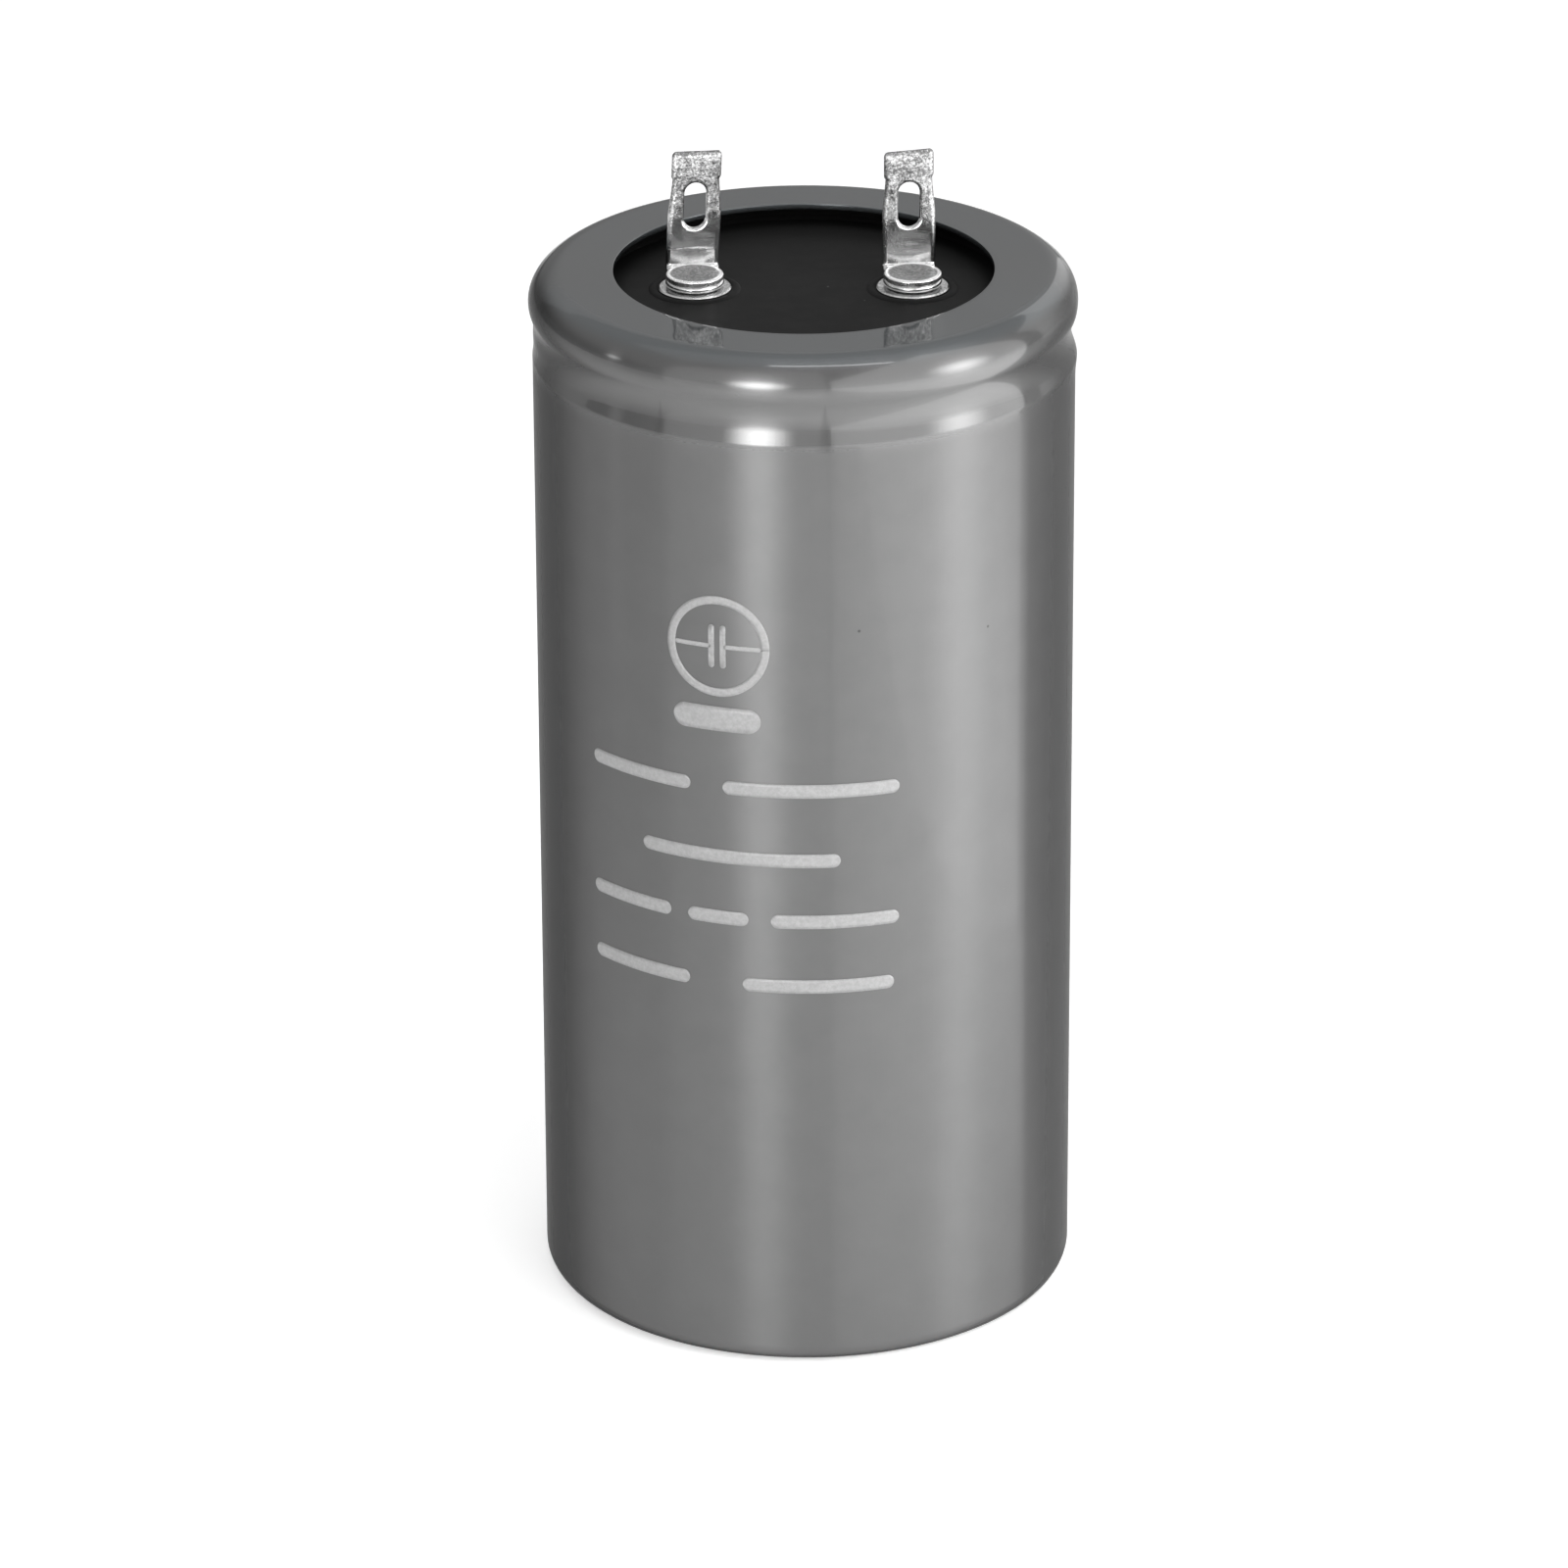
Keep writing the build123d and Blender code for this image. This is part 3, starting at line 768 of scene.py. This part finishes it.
# Film's finish: tones are grey levels or colours, and levels are millimetres up. A pair of values runs from
# the wall to the bead, or from a face seen square on to one seen along, between the limits beside it. A
# mark is (strength, tone), and a speck is (scale, size, share).
filmLook = {
    "metallic": 0.68,
    "specularTint": (0.15, 0.15, 0.15, 1),
    "anisotropy": 1.0,
    "anisotropyTurn": 0.25,
    "glossRoughness": 0.05,
    "glossIndex": 1.58,
    "wallTones": (0.109, 0.128),
    "beadTone": 0.105,
    # The lip's tone is the film's grey with a blue tint that is a painted reflection of the room above
    "lipToneWithReflection": (0.103, 0.112, 0.117, 1),
    "beadLevels": (90.5, 92.5),
    "lipLevels": (98.8, 99.8),
    "roughness": (0.31, 0.22),
    "glossFacing": (0.35, 0.7),
    "gloss": (0.85, 0.1),
    "glossShare": (0.25, 0.68),
    "lipGloss": 0.85,
    # Painted shade: the film's colour goes toward black where it is seen along, between these facings and
    # shares
    "paintedShadeFacing": (0.42, 0.62),
    "paintedShadeShare": (0.0, 0.25),
    "scuffs": (0.5, 0.16),
    "scuffDull": 0.25,
    "specks": (420.0, 0.06, 0.07),
    "dust": (0.7, 0.03),
    # The pinches' dark tone is painted shade in the film's creases under the bead
    "pinchPaintedShade": (0.22, 0.03),
    "pinchDull": 0.2,
    "streakRoughness": 0.03,
    "streakRelief": 0.004,
}

# Pinches in the film under the bead, darkened in colour as painted shade: (angle, lowest level, highest
# level, half width) in degrees and millimetres. Each narrows to a share of its width at the top, has a soft
# side and fades out at both ends.
pinches = {
    "places": [(-31.7, 91.9, 95.2, 0.5), (4.3, 91.5, 96.0, 0.85)],
    "topShare": 0.1,
    "side": (0.1, 1.3),
    "fade": 0.3,
}


def unrolled(tree, place):
    # The film laid flat, as the radius times the angle about the axis and the height, and the height alone
    split = splitPlace(tree, place)
    angle = combine(tree, "ARCTAN2", split["X"], combine(tree, "MULTIPLY", split["Y"], -1.0))
    along = combine(tree, "MULTIPLY", angle, sleeve["radius"] * mm)
    return addNode(tree, "CombineXYZ", {"X": along, "Y": split["Z"]}).outputs["Vector"], split["Z"]


def pinchShade(tree, flat, level):
    # Mask of the pinches' painted shade, the strongest of them: 1 in its middle, less to its sides, times a
    # smooth step at each end
    along = splitPlace(tree, flat)["X"]
    total, fade = 0.0, pinches["fade"]
    for turn, low, high, half in pinches["places"]:
        middle = np.radians(turn) * sleeve["radius"] * mm
        apart = combine(tree, "ABSOLUTE", combine(tree, "SUBTRACT", along, middle))
        reach = remap(tree, level, metres((low, high)), metres((half, pinches["topShare"] * half)))
        aside = remap(tree, combine(tree, "DIVIDE", apart, reach), pinches["side"])
        foot = remap(tree, level, metres((low - fade, low)))
        head = remap(tree, level, metres((high - fade, high)), (1.0, 0.0))
        inside = combine(tree, "MULTIPLY", foot, head)
        shade = combine(tree, "MULTIPLY", combine(tree, "SUBTRACT", 1.0, aside), inside)
        total = combine(tree, "MAXIMUM", total, shade)
    return total


def filmGround(tree, flat, level, facing, masks):
    # Cloudy wall, plain bead and lip, painted shade toward black where seen along, and then each mark
    # blended in by its mask
    clouds = grain(tree, flat, 0.25, detail=4.0)
    onBead = remap(tree, level, metres(filmLook["beadLevels"]))
    onLip = remap(tree, level, metres(filmLook["lipLevels"]))
    paintedEdgeShade = remap(tree, facing, filmLook["paintedShadeFacing"], filmLook["paintedShadeShare"])
    ground = blendTones(tree, clouds, *filmLook["wallTones"])
    ground = blendTones(tree, onBead, ground, filmLook["beadTone"])
    # On the lip: the film's grey plus its blue tint, a painted reflection
    ground = blendTones(tree, onLip, ground, filmLook["lipToneWithReflection"])
    # Painted shade: black blended in by the angle of view, darker where the film is seen along
    ground = blendTones(tree, paintedEdgeShade, ground, 0.0)
    # Marks: scuffs and dust are the film's own, the pinches' dark tone is painted shade
    for name, mask in masks.items():
        strength, tone = filmLook[name]
        ground = blendTones(tree, combine(tree, "MULTIPLY", mask, strength), ground, tone)
    return ground


def filmGloss(tree, level, facing, masks):
    # Weight of the clear gloss: by the angle of view and the level, even on the lip, and dulled by marks
    wall = remap(tree, facing, filmLook["glossFacing"], filmLook["gloss"])
    share = remap(tree, level, metres(filmLook["beadLevels"]), filmLook["glossShare"])
    wall = combine(tree, "MULTIPLY", wall, share)
    onLip = remap(tree, level, metres(filmLook["lipLevels"]))
    gloss = addNode(tree, "Mix", {"Factor": onLip, "A": wall, "B": filmLook["lipGloss"]}).outputs["Result"]
    dulled = combine(tree, "MULTIPLY", masks["scuffs"], filmLook["scuffDull"])
    gloss = combine(tree, "SUBTRACT", gloss, dulled)
    pinchPaintedShade = combine(tree, "MULTIPLY", masks["pinchPaintedShade"], filmLook["pinchDull"])
    return combine(tree, "MULTIPLY", gloss, combine(tree, "SUBTRACT", 1.0, pinchPaintedShade))


def filmMaterial():
    # Metal-flake plastic: a satin ground that stretches highlights up and down, under a clear gloss
    roughness = filmLook["roughness"]
    material = newMaterial("shrinkFilm", filmLook["beadTone"], roughness[0], filmLook["metallic"])
    tree = material.node_tree
    shader = tree.nodes["Principled BSDF"]
    shader.inputs["Specular Tint"].default_value = filmLook["specularTint"]
    shader.inputs["Anisotropic"].default_value = filmLook["anisotropy"]
    shader.inputs["Anisotropic Rotation"].default_value = filmLook["anisotropyTurn"]
    shader.inputs["Coat Roughness"].default_value = filmLook["glossRoughness"]
    shader.inputs["Coat IOR"].default_value = filmLook["glossIndex"]
    tangent = addNode(tree, "Tangent", direction_type="RADIAL", axis="Z")
    tree.links.new(tangent.outputs["Tangent"], shader.inputs["Tangent"])
    flat, level = unrolled(tree, objectPlace(tree))
    facing = addNode(tree, "LayerWeight", {"Blend": 0.5}).outputs["Facing"]
    lines = remap(tree, grain(tree, flat, 1.0, (0.9, 7.0, 1), 3.0), (0.66, 0.78))
    patches = remap(tree, grain(tree, flat, 0.07, detail=2.0), (0.5, 0.62))
    masks = {
        "scuffs": combine(tree, "MULTIPLY", lines, patches),
        "dust": speckMask(tree, *filmLook["specks"]),
        "pinchPaintedShade": pinchShade(tree, flat, level),
    }
    streaks = grain(tree, flat, 3.2, (1, 0.02, 1), 3.0)
    rough = remap(tree, level, metres(filmLook["beadLevels"]), roughness)
    rough = combine(tree, "ADD", rough, combine(tree, "MULTIPLY", streaks, filmLook["streakRoughness"]))
    ground = filmGround(tree, flat, level, facing, masks)
    feed(tree, color=ground, roughness=rough, coatWeight=filmGloss(tree, level, facing, masks))
    bumped(tree, streaks, filmLook["streakRelief"])


# Ink's finish: tones and roughness where it is thin and where it is full
inkLook = {"tones": (0.22, 0.28), "roughness": (0.46, 0.38), "metallic": 0.15, "relief": 0.003}

# Limits that hold most of a noise's values
noiseSpread = (0.3, 0.7)


def inkMaterial():
    # Silver screen ink, thin in places and with pinholes
    material = newMaterial("printInk", inkLook["tones"][1], inkLook["roughness"][1], inkLook["metallic"])
    tree = material.node_tree
    full = grain(tree, objectPlace(tree), 2.5, detail=6.0, roughness=0.7)
    tone = blendTones(tree, remap(tree, full, noiseSpread), *inkLook["tones"])
    feed(tree, color=tone, roughness=remap(tree, full, noiseSpread, inkLook["roughness"]))
    bumped(tree, full, inkLook["relief"])


# Tinned finishes: dark and bright tones, roughness where clean and where frosted, and in millimetres the
# relief and the level where frost begins. A rivet's head is coloured bright outside its edgeRing, a painted
# highlight on its rounded edge.
tins = {
    "lugTin": {"tones": (0.16, 0.85), "roughness": (0.17, 0.3), "relief": 0.01, "frostStart": 104.5},
    "rivetTin": {
        "tones": (0.08, 0.42), "roughness": (0.16, 0.3), "relief": 0.004, "frostStart": 98.0,
        "edgeRing": 2.4, "edgeBlend": 0.25, "edgeHighlightTone": 0.9,
    },
    "washerTin": {"tones": (0.3, 0.85), "roughness": (0.14, 0.26), "relief": 0.006, "frostStart": 98.0},
    "washerZinc": {"tones": (0.3, 0.55), "roughness": (0.25, 0.4), "relief": 0.01, "frostStart": 0.0},
}


def paintedEdgeHighlight(tree, place, look):
    # Mask of the painted highlight: 1 from the edge ring outwards, by the distance from the nearer rivet's
    # axis
    split = splitPlace(tree, place)
    aside = combine(tree, "SUBTRACT", combine(tree, "ABSOLUTE", split["X"]), lugShape["pitch"] * mm)
    limits = metres((look["edgeRing"] - look["edgeBlend"], look["edgeRing"]))
    return remap(tree, axisDistance(tree, aside, split["Y"]), limits)


def tinMaterial(name):
    # Dipped metal: dark and bright tones by the grain, dull where frosted, and on rivet heads a painted
    # highlight round the edge
    look = tins[name]
    material = newMaterial(name, look["tones"][1], look["roughness"][0], 1.0)
    tree = material.node_tree
    place = objectPlace(tree)
    values = {"Vector": place, "Start": look["frostStart"] * mm}
    marks = addNode(tree, "Group", values, node_tree=bpy.data.node_groups["tinGrain"]).outputs
    tone = blendTones(tree, marks["Tone"], *look["tones"])
    if "edgeRing" in look:
        # Painted highlight: the rivet head's rounded edge coloured bright
        tone = blendTones(tree, paintedEdgeHighlight(tree, place, look), tone, look["edgeHighlightTone"])
    feed(tree, color=tone, roughness=remap(tree, marks["Frost"], (0.0, 1.0), look["roughness"]))
    bumped(tree, marks["Height"], look["relief"])


# Rubber's finish: a mark is (strength, tone). Near the rim, from one radius in millimetres to the next, it
# is darker, as painted shade under the film's lip, and duller.
rubberLook = {
    "specular": 0.08,
    "tones": (0.007, 0.01),
    "roughness": (0.56, 0.62),
    "rimRadii": (16.2, 18.0),
    "rimPaintedShade": 0.002,
    "rimDull": (0.0, 0.3),
    "scratches": (0.35, 0.05),
    "specks": (900.0, 0.1, 0.05),
    "dust": (0.8, 0.12),
    "relief": 0.006,
}


def rubberMaterial():
    # Moulded black rubber: cloudy tone, painted shade toward the rim, fine pits, pale dust and a few long
    # scratches
    material = newMaterial("coverRubber", rubberLook["tones"][1], rubberLook["roughness"][1])
    tree = material.node_tree
    tree.nodes["Principled BSDF"].inputs["Specular IOR Level"].default_value = rubberLook["specular"]
    place = objectPlace(tree)
    split = splitPlace(tree, place)
    reach, radii = axisDistance(tree, split["X"], split["Y"]), metres(rubberLook["rimRadii"])
    clouds = grain(tree, place, 0.25, detail=3.0)
    strength, scratchTone = rubberLook["scratches"]
    lines = remap(tree, grain(tree, place, 0.5, (0.5, 9.0, 1), 2.0), (0.7, 0.76), (0.0, strength))
    strength, dustTone = rubberLook["dust"]
    dust = combine(tree, "MULTIPLY", speckMask(tree, *rubberLook["specks"]), strength)
    tone = blendTones(tree, clouds, *rubberLook["tones"])
    # Painted shade: darker toward the rim, where the film's lip overhangs the rubber
    tone = blendTones(tree, remap(tree, reach, radii), tone, rubberLook["rimPaintedShade"])
    tone = blendTones(tree, lines, tone, scratchTone)
    tone = blendTones(tree, dust, tone, dustTone)
    rough = remap(tree, clouds, noiseSpread, rubberLook["roughness"])
    rough = combine(tree, "ADD", rough, remap(tree, reach, radii, rubberLook["rimDull"]))
    feed(tree, color=tone, roughness=rough)
    bumped(tree, grain(tree, place, 5.0, detail=3.0), rubberLook["relief"])


# The roll's finish: its two colours, how far its rings wobble, how metallic the foil is, and its relief
woundLook = {
    "paper": (0.55, 0.47, 0.33, 1),
    "foil": (0.42, 0.42, 0.43, 1),
    "roughness": 0.45,
    "wobble": 0.2,
    "foilMetallic": 0.8,
    "relief": 0.05,
}


def woundMaterial():
    # Fine rings of foil and paper: noise of the distance from the axis, wobbled by a coarser noise
    material = newMaterial("foilAndPaper", woundLook["foil"][0], woundLook["roughness"])
    tree = material.node_tree
    place = objectPlace(tree)
    split = splitPlace(tree, place)
    rings = addNode(tree, "CombineXYZ", {"X": axisDistance(tree, split["X"], split["Y"])}).outputs["Vector"]
    layers = grain(tree, rings, 5.0, detail=2.0)
    wobble = combine(tree, "MULTIPLY", grain(tree, place, 0.4, detail=4.0), woundLook["wobble"])
    share = remap(tree, combine(tree, "ADD", layers, wobble), (0.5, 0.7))
    tone = blendTones(tree, share, woundLook["paper"], woundLook["foil"])
    feed(tree, color=tone, metallic=remap(tree, share, (0.4, 0.6), (0.0, woundLook["foilMetallic"])))
    bumped(tree, layers, woundLook["relief"])


# Plain stocks: two colours, roughness, grain in cells per millimetre with its stretch, metallic, and relief
# in millimetres
stocks = {
    "tabFoil": {
        "colors": ((0.6, 0.6, 0.62), (0.72, 0.72, 0.73)), "roughness": 0.35,
        "scale": 1.0, "stretch": (8.0, 0.4, 0.4), "metallic": 1.0, "relief": 0.005,
    },
    "canAluminium": {
        "colors": ((0.42, 0.42, 0.43), (0.58, 0.58, 0.59)), "roughness": 0.38,
        "scale": 1.2, "stretch": (1.0, 1.0, 0.1), "metallic": 1.0, "relief": 0.006,
    },
    "boardLaminate": {
        "colors": ((0.16, 0.07, 0.03), (0.3, 0.15, 0.07)), "roughness": 0.55,
        "scale": 0.8, "stretch": (6.0, 0.6, 1.0), "metallic": 0.0, "relief": 0.01,
    },
    "tapeFilm": {
        "colors": ((0.62, 0.48, 0.16), (0.7, 0.56, 0.22)), "roughness": 0.3,
        "scale": 0.5, "stretch": (1.0, 1.0, 6.0), "metallic": 0.0, "relief": 0.004,
    },
    "insulatorPaper": {
        "colors": ((0.2, 0.24, 0.27), (0.3, 0.34, 0.37)), "roughness": 0.8,
        "scale": 1.5, "stretch": (3.0, 0.7, 1.0), "metallic": 0.0, "relief": 0.01,
    },
    "padBoard": {
        "colors": ((0.36, 0.25, 0.14), (0.5, 0.37, 0.22)), "roughness": 0.85,
        "scale": 1.2, "stretch": (3.0, 0.7, 1.0), "metallic": 0.0, "relief": 0.01,
    },
}


def stockMaterial(name):
    # Two colours mixed by a stretched grain, which also lifts the surface and varies its roughness a little
    look = stocks[name]
    first, second = look["colors"]
    rough, vary = look["roughness"], 0.06
    material = newMaterial(name, first, rough, look["metallic"])
    tree = material.node_tree
    fibres = grain(tree, objectPlace(tree), look["scale"], look["stretch"], 6.0)
    tone = blendTones(tree, remap(tree, fibres, (0.35, 0.65)), (*first, 1), (*second, 1))
    feed(tree, color=tone, roughness=remap(tree, fibres, noiseSpread, (rough - vary, rough + vary)))
    bumped(tree, fibres, look["relief"])


# Finish of each node that is carried over as it is
finishes = {
    "cover_rubber": "coverRubber",
    "left_rivet": "rivetTin",
    "right_rivet": "rivetTin",
    "left_outer_washer": "washerTin",
    "right_outer_washer": "washerTin",
    "left_inner_washer": "washerZinc",
    "right_inner_washer": "washerZinc",
    "left_tab": "tabFoil",
    "right_tab": "tabFoil",
    "can": "canAluminium",
    "cover_board": "boardLaminate",
    "winding": "foilAndPaper",
    "winding_tape": "tapeFilm",
    "upper_insulator": "insulatorPaper",
    "base_pad": "padBoard",
}

bpy.context.scene.view_settings.view_transform = "Standard"
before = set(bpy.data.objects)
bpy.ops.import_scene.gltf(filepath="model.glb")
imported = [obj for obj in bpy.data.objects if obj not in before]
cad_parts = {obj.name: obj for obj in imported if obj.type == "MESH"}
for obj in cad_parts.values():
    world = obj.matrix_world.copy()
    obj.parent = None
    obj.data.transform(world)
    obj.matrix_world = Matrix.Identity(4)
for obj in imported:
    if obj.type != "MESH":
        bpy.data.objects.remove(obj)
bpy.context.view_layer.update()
print("frame loaded")
makeCamera()
for name, chosen in studio["lamps"].items():
    makeLamp(name, chosen)
makeRoom()
makeFloor()
print("studio lit")
makeTinGrain()
makeSpecks()
filmMaterial()
inkMaterial()
rubberMaterial()
woundMaterial()
for name in tins:
    tinMaterial(name)
for name in stocks:
    stockMaterial(name)
print("finishes made")
makeSleeve()
makePrint()
makeRubberLipAndShade()
for side in ("left", "right"):
    makeLug(side)
print("sleeve, print, rubber lip and lugs made")
for name, finish in finishes.items():
    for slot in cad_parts[name].material_slots:
        slot.material = bpy.data.materials[finish]
print("carried-over pieces finished")
